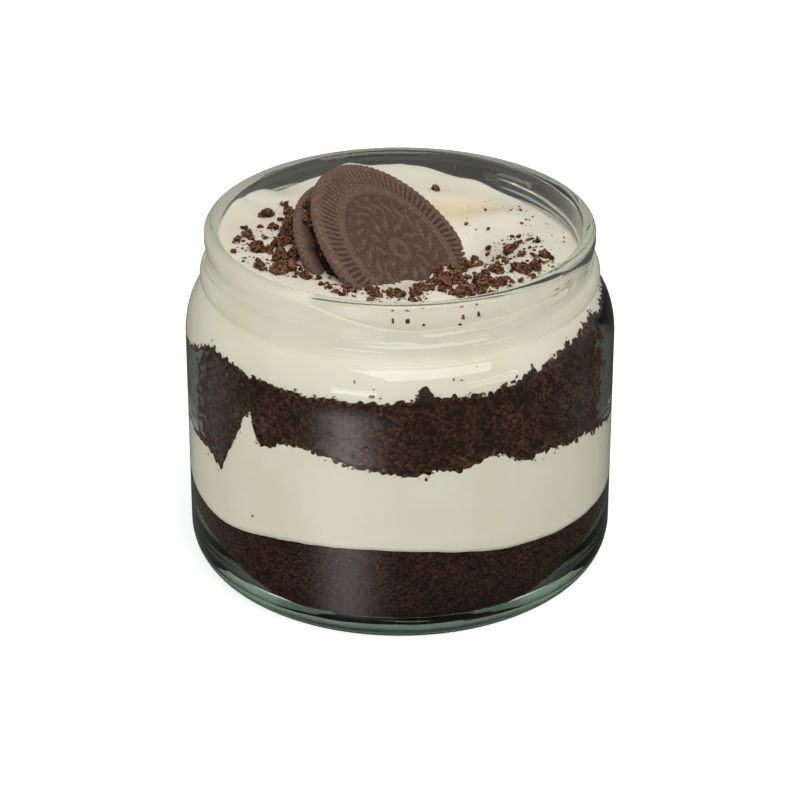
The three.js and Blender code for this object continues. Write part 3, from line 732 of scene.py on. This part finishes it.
def pressed_depth(angle, radius):
    """Depth of the mould's marks in a wafer's face, from 0 to 1: the notched rim, and a sunk field where
    rings of leaning lozenges and a round boss are left standing."""
    pitch = 2 * math.pi / RIM_RIDGES
    across = np.abs(np.mod(angle, pitch) - pitch / 2) * radius
    notches = band(radius, NOTCH_INSIDE, NOTCH_OUTSIDE, 0.6) * np.clip(1.15 - across / NOTCH_HALF, 0, 1)
    standing = np.maximum(band(radius, 1.4, 3.0, 0.5), lozenges(angle, radius, 6.2, 12, 4.6, 2.6, 0.6))
    standing = np.maximum(standing, lozenges(angle, radius, 10.6, 22, 5.0, 2.4, -1.1))
    standing = np.maximum(standing, lozenges(angle + 0.143, radius, 13.0, 22, 1.8, 1.9, 0))
    standing = np.maximum(standing, lozenges(angle + 0.13, radius, 8.3, 12, 1.7, 1.7, 0))
    field = band(radius, -1, FIELD_RADIUS, 0.5) * (1 - standing)
    return np.maximum(notches, 0.7 * field)


def wafer(name, patterned_up):
    """A wafer, its patterned face up at height 0 or, turned over, down."""
    angles = angles_round(COOKIE_STEPS)
    turn = np.radians(angles)[:, None]
    face_rows = FACE_ROWS if patterned_up else BACK_FACE_ROWS
    face_radii = np.linspace(20.6, 0.4, face_rows)
    marks = pressed_depth(turn, face_radii[None])
    dome = 0.25 * (1 - (face_radii[None] / COOKIE_RADIUS) ** 2) - 0.25
    face = dome - MARK_DEPTH * marks
    ridge = 0.5 - 0.5 * np.cos(RIM_RIDGES * turn)
    edge_radii = np.array([21.2, 21.75, 22.0, 22.0, 21.9, 21.6, 21.0, 20.2])
    edge_heights = np.array([-0.10, -0.35, -0.75, -1.3, -1.8, -2.25, -2.5, -WAFER_THICK])[None]
    edge = edge_radii[None] - 0.36 * (1 - ridge) * band(edge_heights, -2.3, 0.0, 0.5)
    back_radii = np.array([0.0, 8.0, 16.0])
    radii = np.concatenate([
        np.broadcast_to(back_radii, (COOKIE_STEPS, 3)), edge[:, ::-1],
        np.broadcast_to(face_radii, (COOKIE_STEPS, face_rows)), np.zeros((COOKIE_STEPS, 1))], axis=1)
    heights = np.concatenate([
        np.full((COOKIE_STEPS, 3), -WAFER_THICK), np.broadcast_to(edge_heights[:, ::-1], edge.shape),
        face, np.full((COOKIE_STEPS, 1), -MARK_DEPTH)], axis=1)
    piece = wrapped_mesh(name, places_round(angles, radii, heights))
    # Painted shade: the depth of the marks is stored on the points, to darken the colour in them.
    hollow = np.concatenate([np.zeros((COOKIE_STEPS, 3 + edge.shape[1])), marks], axis=1)[:, 1:]
    shade = piece.data.attributes.new("mark_shade", "FLOAT", "POINT")
    shade.data.foreach_set("value", np.append(hollow.reshape(-1), (0, 1)).astype(np.float32))
    if patterned_up:
        piece.data.transform(cookie_place)
    else:
        turned_over = Matrix.Translation((0, 0, -COOKIE_THICK * MM)) @ Matrix.Rotation(math.pi, 4, "X")
        piece.data.transform(cookie_place @ turned_over)
    return piece


def wafer_material():
    """Dry chocolate wafer: fine even grain, duller and darker down in the marks of the mould: painted
    shade, partly its own tone.
    """
    material = baked_material("baked_chocolate_wafer", 4200.0, WAFER_DARK, WAFER_LIGHT, 0.2, 0.035)
    tree = material.node_tree
    shader = tree.nodes["Principled BSDF"]
    own = shader.inputs["Base Color"].links[0].from_socket
    # Painted shade, partly the wafer's own tone: its colour is darkened by the depth of the marks.
    pressed = new_node(tree.nodes, "Attribute", attribute_name="mark_shade")
    darken = new_node(tree.nodes, "MapRange", {"To Min": 1.0, "To Max": SHADE_IN_THE_MARKS})
    shaded = new_node(tree.nodes, "VectorMath", operation="SCALE")
    tree.links.new(pressed.outputs["Fac"], darken.inputs["Value"])
    tree.links.new(own, shaded.inputs[0])
    tree.links.new(darken.outputs["Result"], shaded.inputs["Scale"])
    tree.links.new(shaded.outputs["Vector"], shader.inputs["Base Color"])
    return material


baked_wafer = wafer_material()
finished(wafer("cookie_front", True), baked_wafer, "root", "wafer", "cookie_front_wafer")
finished(wafer("cookie_back", False), baked_wafer, "root", "wafer", "cookie_back_wafer")

filling_angles = angles_round(360)
bulge = np.array([0, 8, 16, 19.0, 19.45, 19.6, 19.45, 19.0, 16, 8, 0], float)[None]
bulge_heights = np.array([0, 0, 0, 0.05, 0.6, 1.3, 2.0, 2.55, 2.6, 2.6, 2.6])[None]
squeezed = 0.35 * uneven(filling_angles, 60, 61)[:, None] + 0.25 * uneven(filling_angles, 150, 62)[:, None]
filling_radii = bulge + squeezed * (bulge > 18.5)
filling_base = -(WAFER_THICK + COOKIE_GAP + FILLING_THICK)
filling_piece = wrapped_mesh(
    "cookie_dark_filling", places_round(filling_angles, filling_radii, filling_base + bulge_heights))
filling_piece.data.transform(cookie_place)
dark_filling = baked_material("dark_cookie_filling", 1300.0, FILLING_DARK, FILLING_LIGHT, 0.5, 0.3)
finished(filling_piece, dark_filling, "root", "filling", "cookie_filling")

# -------------------------------------------------------------------------------- crumbs on the cream
# Crumbs of the same dark cookie, rubbed over the top by hand: a heap of large ones against the cookie's
# left side, a band in front of it and to the right, and dust and specks between them.

LARGE_CRUMBS = (
    (-27.5, 9, 1.35), (-23, 10.5, 1.3), (-26, 3, 0.95), (-23, 1.5, 1.6), (-23, -5.5, 1.3),
    (-31, -1.5, 1.15), (-33, -4.5, 0.9), (-33.5, -11, 0.7), (-28.5, -8.5, 1.4), (-28.5, -18, 0.9),
    (-24, -11, 1.5), (-21, -11, 1.5), (-24, -19, 1.5), (-22, -17.5, 1.4), (-19, -16, 1.6),
    (-18.5, -21, 1.2), (-15, -21, 1.1), (-12.5, -22, 0.9), (-10.5, -24, 1.0), (-8, -25, 1.0),
    (-5, -25.5, 1.1), (-0.5, -24.5, 1.3), (3, -24, 1.2), (9, -21, 1.4), (11.5, -17, 1.6),
    (13, -22, 1.5), (16, -19.5, 1.7), (18, -17.5, 1.3), (12, -24.5, 1.0), (14.5, -6, 1.2),
    (19.5, -11.5, 1.6), (16.5, 4, 0.8), (23.5, -9.5, 1.2), (25, -10.5, 1.4), (27.5, -9.5, 1.2),
    (22.5, 4, 1.5), (24, 5, 0.9), (28.5, 4.5, 0.8), (29.5, -3.5, 1.2), (14, 15, 0.5),
    (18.5, 13, 0.55), (18, 19.5, 0.45), (25.5, 20.5, 0.45), (25.5, 14, 0.45), (7.5, 26.5, 0.9),
    (20.5, -16, 0.8), (22.5, -16.5, 0.6), (-6, -31, 0.35), (-1.5, -33, 0.45), (1.5, -32.5, 0.5),
    (4.5, -33.5, 0.35), (12, -31, 0.45), (15, -30, 0.45), (5.5, -6, 1.1), (8, -4, 1.2),
    (10.5, -1.5, 1.0), (12, 2.5, 0.9), (14, 5, 1.0), (15.5, 7, 0.8), (18.5, 8.5, 0.7),
    (7.9, -18.9, 1.3), (10.3, -17.5, 1.4), (7, -15, 1.0), (9.5, -13, 1.1), (12.5, -11.5, 1.0),
    (-24.1, 14.8, 0.9), (-23, 11.4, 1.0), (-22.2, 6.6, 1.3), (-23.4, 4.7, 1.1), (-22.6, 0.9, 1.3),
    (-21.4, -4.1, 1.3), (-20.3, -7.5, 1.4), (-24, -2.5, 1.2), (-24.8, -6.5, 1.2), (-26.4, -8.2, 1.0),
)
CRUMB_PATCHES = (
    ((-24, -6), (10, 14), 190, (0.14, 0.7)), ((-20, -16), (9, 6), 230, (0.16, 0.8)),
    ((-5, -25), (11, 4), 180, (0.14, 0.75)), ((13, -19), (10, 6), 300, (0.14, 0.85)),
    ((25, -8), (8, 8), 190, (0.14, 0.7)), ((23, 4), (7, 6), 100, (0.14, 0.6)),
    ((22, 10), (13, 15), 90, (0.10, 0.3)), ((9, -3), (7, 5), 110, (0.14, 0.7)),
)
CLINGING = 7
BETWEEN_WAFERS, BETWEEN_ARC = 46, (150, 300)
CRUMB_DARK, CRUMB_LIGHT = (0.034, 0.016, 0.0095), (0.45, 0.215, 0.12)


def broken_crumb(size, detail, random):
    """Vertices and faces of one rough, broken crumb, in millimetres."""
    mesh = bpy.data.meshes.new("crumb_shape")
    build = bmesh.new()
    bmesh.ops.create_icosphere(build, subdivisions=detail, radius=1)
    build.to_mesh(mesh)
    build.free()
    corners = np.empty(len(mesh.vertices) * 3)
    mesh.vertices.foreach_get("co", corners)
    corners = corners.reshape(-1, 3)
    faces = [tuple(face.vertices) for face in mesh.polygons]
    bpy.data.meshes.remove(mesh)
    shift = Vector(random.uniform(-50, 50, 3))
    rough = [0.62 * noise.noise(Vector(c) * 0.9 + shift) + 0.5 * noise.noise(Vector(c) * 2.3 + shift)
             + 0.3 * noise.noise(Vector(c) * 5 + shift) for c in corners]
    stretch = random.uniform((0.8, 0.75, 0.6), (1.25, 1.05, 0.9))
    turn = random.uniform(0, 2 * math.pi)
    corners = corners * (1 + np.array(rough)[:, None]) * stretch * size
    x = corners[:, 0] * math.cos(turn) - corners[:, 1] * math.sin(turn)
    y = corners[:, 0] * math.sin(turn) + corners[:, 1] * math.cos(turn)
    return np.stack([x, y, corners[:, 2]], axis=1), faces


def joined_crumbs(name, crumbs):
    """One mesh from many crumbs, each given as its vertices and faces."""
    vertices, faces, start = [], [], 0
    for corners, sides in crumbs:
        vertices.append(corners * MM)
        faces += [tuple(start + k for k in side) for side in sides]
        start += len(corners)
    mesh = bpy.data.meshes.new(name)
    mesh.from_pydata(np.concatenate(vertices).tolist(), [], faces)
    return placed(name, mesh)


def in_cookie(place, margin):
    """True if a place in millimetres lies within the cookie or this close to it."""
    local = cookie_place.inverted() @ (Vector(place) * MM)
    return (math.hypot(local.x, local.y) < (COOKIE_RADIUS + margin) * MM
            and -(COOKIE_THICK + margin) * MM < local.z < margin * MM)


crumb_random = np.random.default_rng(5)
wanted = list(LARGE_CRUMBS)
for (at_x, at_y), (wide, deep), count, (small, large) in CRUMB_PATCHES:
    turns = crumb_random.uniform(0, 2 * math.pi, count)
    reach = np.sqrt(crumb_random.uniform(0, 1, count)) ** 0.8
    sizes = small + (large - small) * crumb_random.uniform(0, 1, count) ** 3
    wanted += zip(at_x + wide * reach * np.cos(turns), at_y + deep * reach * np.sin(turns), sizes)
top_crumbs = []
for x, y, size in wanted:
    radius = math.hypot(x, y)
    if radius + size > MOUTH_RADIUS - 0.3:
        continue
    angle = math.degrees(math.atan2(x, -y))
    height = float(cream_top_height(np.array(angle), np.array(radius))) + 0.35 * size
    if in_cookie((x, y, height), 0.2 * size):
        continue
    detail = 3 if size > 1.0 else 2 if size > 0.5 else 1
    corners, sides = broken_crumb(size, detail, crumb_random)
    top_crumbs.append((corners + (x, y, height), sides))
    for _ in range(CLINGING if size > 0.8 else 0):
        outward = Vector(crumb_random.normal(0, 1, 3)).normalized()
        bit, sides = broken_crumb(size * crumb_random.uniform(0.2, 0.42), 1, crumb_random)
        top_crumbs.append((bit + (x, y, height) + np.array(outward) * size * 0.85, sides))
for _ in range(BETWEEN_WAFERS):
    size = crumb_random.uniform(0.25, 0.7)
    turn = math.radians(crumb_random.uniform(*BETWEEN_ARC))
    reach = crumb_random.uniform(FILLING_RADIUS, COOKIE_RADIUS - 0.6)
    depth = -WAFER_THICK - COOKIE_GAP - crumb_random.uniform(0.6, FILLING_THICK - 0.6)
    in_its_frame = (reach * math.cos(turn) * MM, reach * math.sin(turn) * MM, depth * MM)
    place = cookie_place @ Vector(in_its_frame) / MM
    corners, sides = broken_crumb(size, 1, crumb_random)
    top_crumbs.append((corners + np.array(place), sides))
scattered = joined_crumbs("crumbs_on_the_cream", top_crumbs)
top_crumb_material = baked_material("scattered_cookie_crumb", 2300.0, CRUMB_DARK, CRUMB_LIGHT, 0.3, 0.25)
finished(scattered, top_crumb_material, "root", "crumb")

# ------------------------------------------------------------------------------- crumbs at the glass
# Stray crumbs caught between the cream and the glass: a fine fringe along both borders of the middle
# crumb, and a few specks in the cream. They press just into the wall, where nothing hides them.

FRINGE_PER_BORDER, FRINGE_REACH, FRINGE_SIZES = 600, 0.4, (0.14, 0.55)
SPECKS = (
    (-44, 23.5, 0.35), (-54.5, 21.5, 0.25), (-32.5, 22, 0.25), (18, 69.5, 0.35), (15, 58.5, 0.4),
    (17, 58.2, 0.35), (-12.5, 58.3, 0.45), (-7, 57.2, 0.5), (-7.6, 56, 0.6), (-41.5, 43.5, 0.3),
    (-42, 41, 0.35), (22, 60, 0.25),
)
CAP_SHARE = 0.62


def crumb_at_glass(angle, height, size):
    """A crumb that shows through the glass as a patch, with its cap pressed into the wall."""
    radius = float(glass_inside(height)) + CREAM_REACH - CAP_SHARE * size
    corners, sides = broken_crumb(size, 2 if size > 0.3 else 1, crumb_random)
    turn = math.radians(angle)
    return corners + (radius * math.sin(turn), -radius * math.cos(turn), height), sides


glass_crumbs = [crumb_at_glass(*speck) for speck in SPECKS]
for layer, into_cream in ((CRUMB_MIDDLE_TOP, 1), (CREAM_MIDDLE_TOP, -1)):
    fringe_angles = crumb_random.uniform(0, 360, FRINGE_PER_BORDER)
    offsets = crumb_random.exponential(FRINGE_REACH, FRINGE_PER_BORDER) - 0.2
    smallest, largest = FRINGE_SIZES
    sizes = smallest + (largest - smallest) * crumb_random.uniform(0, 1, FRINGE_PER_BORDER) ** 1.8
    levels = edge_height(layer, fringe_angles) + into_cream * offsets
    glass_crumbs += [crumb_at_glass(*place) for place in zip(fringe_angles, levels, sizes)]
fringe = joined_crumbs("crumbs_at_the_glass", glass_crumbs)
finished(fringe, top_crumb_material, "root", "crumb")

# --------------------------------------------------------------------------------------- the studio
# A plain pale table, a wide soft light overhead, a barred window at each side of the camera and a pale
# wall at the left. The room is dim past the table, with a pale sheet in it that the glass mirrors, and
# the light that the jar gathers on the table under it is a disc that glows.

CAMERA_DISTANCE, CAMERA_RISE, CAMERA_HEIGHT = 0.650, 27.2, 0.0375
CAMERA_AIM = 0.0339
LENS = 139.3
TABLE_HALF, TABLE_GLOW = 4.0, 0.55
NEAR_RADIUS, NEAR_STEPS, NEAR_COLOUR, NEAR_GLOW = 0.0295, 64, (0.86, 1.0, 0.89), 1.9
LEFT_PANES = ((9, 0.02), (12, 0.05), (16, 0.02))
RIGHT_PANES = (14, 19, 24)
LOW_ROOM_LEFT, LOW_ROOM_RIGHT = (0.12, 0.132, 0.115), (0.060, 0.062, 0.056)
LOW_ROOM_BETWEEN = (
    (0.34, (0.10, 0.11, 0.096)), (0.46, (0.045, 0.047, 0.045)), (0.55, (0.032, 0.033, 0.032)),
    (0.66, (0.072, 0.075, 0.067)),
)
LOW_ROOM_FRONT, HIGH_ROOM = (0.028, 0.029, 0.028), (0.30, 0.315, 0.33)
SHEET_AZIMUTH, SHEET_RISE, SHEET_WIDTH, SHEET_COLOUR = -29, -31, 12.5, (1.42, 1.34, 1.40)

table_mesh = bpy.data.meshes.new("pale_table")
table_corners = [(x * TABLE_HALF, y * TABLE_HALF, 0) for x, y in ((-1, -1), (1, -1), (1, 1), (-1, 1))]
table_mesh.from_pydata(table_corners, [], [(0, 1, 2, 3)])
table = placed("pale_table", table_mesh)
table_paint, table_nodes, table_link, table_shader, _ = nodes_of("pale_table_top")
set_inputs(table_shader, {
    "Base Color": (0.86, 0.86, 0.86, 1), "Roughness": 0.9, "Specular IOR Level": 0.1,
    "Emission Color": (1, 1, 1, 1)})
table_mesh.materials.append(table_paint)
table.visible_glossy = False
table.visible_transmission = False
table.location.z = -0.04 * MM
seen = new_node(table_nodes, "LightPath")
lift = new_node(table_nodes, "Math", {1: TABLE_GLOW}, operation="MULTIPLY")
table_link(seen.outputs["Is Camera Ray"], lift.inputs[0])
table_link(lift.outputs[0], table_shader.inputs["Emission Strength"])

near_mesh = bpy.data.meshes.new("table_under_the_jar")
near_turns = [2 * math.pi * k / NEAR_STEPS for k in range(NEAR_STEPS)]
near_edge = [(NEAR_RADIUS * math.sin(turn), NEAR_RADIUS * math.cos(turn), 0) for turn in near_turns]
near_mesh.from_pydata(near_edge, [], [tuple(range(NEAR_STEPS))[::-1]])
near_table = placed("table_under_the_jar", near_mesh)
glow, _, _, glow_shader, _ = nodes_of("light_gathered_on_the_table")
set_inputs(glow_shader, {
    "Base Color": (0, 0, 0, 1), "Specular IOR Level": 0,
    "Emission Color": (*NEAR_COLOUR, 1), "Emission Strength": NEAR_GLOW})
near_mesh.materials.append(glow)
near_table.location.z = -0.02 * MM
near_table.visible_camera = False
near_table.visible_diffuse = False
near_table.visible_glossy = False
near_table.visible_shadow = False


def outward_from_jar(azimuth, rise):
    """Direction from the jar, its azimuth from the front towards the right, in degrees."""
    a, e = math.radians(azimuth), math.radians(rise)
    return Vector((math.sin(a) * math.cos(e), -math.cos(a) * math.cos(e), math.sin(e)))


def soft_light(name, azimuth, rise, wide, tall, power, distance=0.9, tint=(1.0, 1.0, 1.0)):
    """A flat soft light that faces the jar, its sizes in metres and its power in watts."""
    data = bpy.data.lights.new(name, "AREA")
    data.shape = "RECTANGLE"
    data.size, data.size_y = wide, tall
    data.energy = power
    data.color = tint
    light = placed(name, data)
    outward = outward_from_jar(azimuth, rise)
    light.location = Vector((0, 0, 0.04)) + outward * distance
    light.rotation_mode = "QUATERNION"
    light.rotation_quaternion = outward.to_track_quat("Z", "Y")
    return light


soft_light("overhead", 24, 63, distance=1.1, wide=1.0, tall=0.8, power=8.0, tint=(1.0, 0.985, 0.96))
for pane, (pane_rise, pane_tall) in enumerate(LEFT_PANES):
    soft_light(f"left_window_{pane}", -23, pane_rise, wide=0.36, tall=pane_tall, power=6 * pane_tall)
for pane, pane_rise in enumerate(RIGHT_PANES):
    soft_light(f"right_window_{pane}", 50, pane_rise, wide=0.42, tall=0.016, power=0.17)
left_wall = soft_light("left_wall", -72, 12, wide=0.5, tall=0.4, power=1.8, tint=(1.0, 0.99, 0.97))
left_wall.visible_glossy = False

# The room: brighter above, and below the horizon darker in front than behind
world = bpy.data.worlds.new("room")
bpy.context.scene.world = world
world.use_nodes = True
sky, join = world.node_tree.nodes, world.node_tree.links.new
background = sky["Background"]
direction = new_node(sky, "TexCoord")
parts = new_node(sky, "SeparateXYZ")
join(direction.outputs["Generated"], parts.inputs[0])
below = new_node(sky, "ValToRGB")
below.color_ramp.elements[0].position = 0.0
below.color_ramp.elements[0].color = (*LOW_ROOM_LEFT, 1)
below.color_ramp.elements[1].position = 1.0
below.color_ramp.elements[1].color = (*LOW_ROOM_RIGHT, 1)
for place, tone in LOW_ROOM_BETWEEN:
    below.color_ramp.elements.new(place).color = (*tone, 1)
sideways = new_node(sky, "MapRange", {"From Min": -1})
join(parts.outputs["X"], sideways.inputs["Value"])
join(sideways.outputs["Result"], below.inputs["Fac"])
behind = new_node(sky, "MapRange", {"From Min": -0.1, "From Max": 0.5})
join(parts.outputs["Y"], behind.inputs["Value"])
low_room = new_node(sky, "Mix", {6: (*LOW_ROOM_FRONT, 1)}, data_type="RGBA")
join(behind.outputs["Result"], low_room.inputs[0])
join(below.outputs["Color"], low_room.inputs[7])
upward = new_node(sky, "MapRange", {"From Min": -0.06, "From Max": 0.20})
join(parts.outputs["Z"], upward.inputs["Value"])
room = new_node(sky, "Mix", {7: (*HIGH_ROOM, 1)}, data_type="RGBA")
join(upward.outputs["Result"], room.inputs[0])
join(low_room.outputs[2], room.inputs[6])
# The sheet: a soft round patch about one direction
pale_sheet = new_node(
    sky, "VectorMath", {1: outward_from_jar(SHEET_AZIMUTH, SHEET_RISE)}, operation="DOT_PRODUCT")
join(direction.outputs["Generated"], pale_sheet.inputs[0])
beside = new_node(sky, "Math", {0: 1.0}, operation="SUBTRACT")
steep = new_node(sky, "Math", {1: -2 / math.radians(SHEET_WIDTH) ** 2}, operation="MULTIPLY")
softened = new_node(sky, "Math", operation="EXPONENT")
join(pale_sheet.outputs["Value"], beside.inputs[1])
join(beside.outputs[0], steep.inputs[0])
join(steep.outputs[0], softened.inputs[0])
lit = new_node(sky, "Mix", {7: (*SHEET_COLOUR, 1)}, data_type="RGBA")
join(softened.outputs[0], lit.inputs[0])
join(room.outputs[2], lit.inputs[6])
join(lit.outputs[2], background.inputs["Color"])

camera_data = bpy.data.cameras.new("photo_view")
camera_data.lens = LENS
camera_data.sensor_width = 36
camera_data.clip_start = 0.01
camera = placed("photo_view", camera_data)
rise = math.radians(CAMERA_RISE)
camera.location = (0, -CAMERA_DISTANCE * math.cos(rise), CAMERA_HEIGHT + CAMERA_DISTANCE * math.sin(rise))
looking = Vector((0, 0, CAMERA_AIM)) - camera.location
camera.rotation_mode = "QUATERNION"
camera.rotation_quaternion = looking.to_track_quat("-Z", "Y")
bpy.context.scene.camera = camera
bpy.context.scene.view_settings.view_transform = "Standard"
bpy.context.scene.view_settings.look = "None"
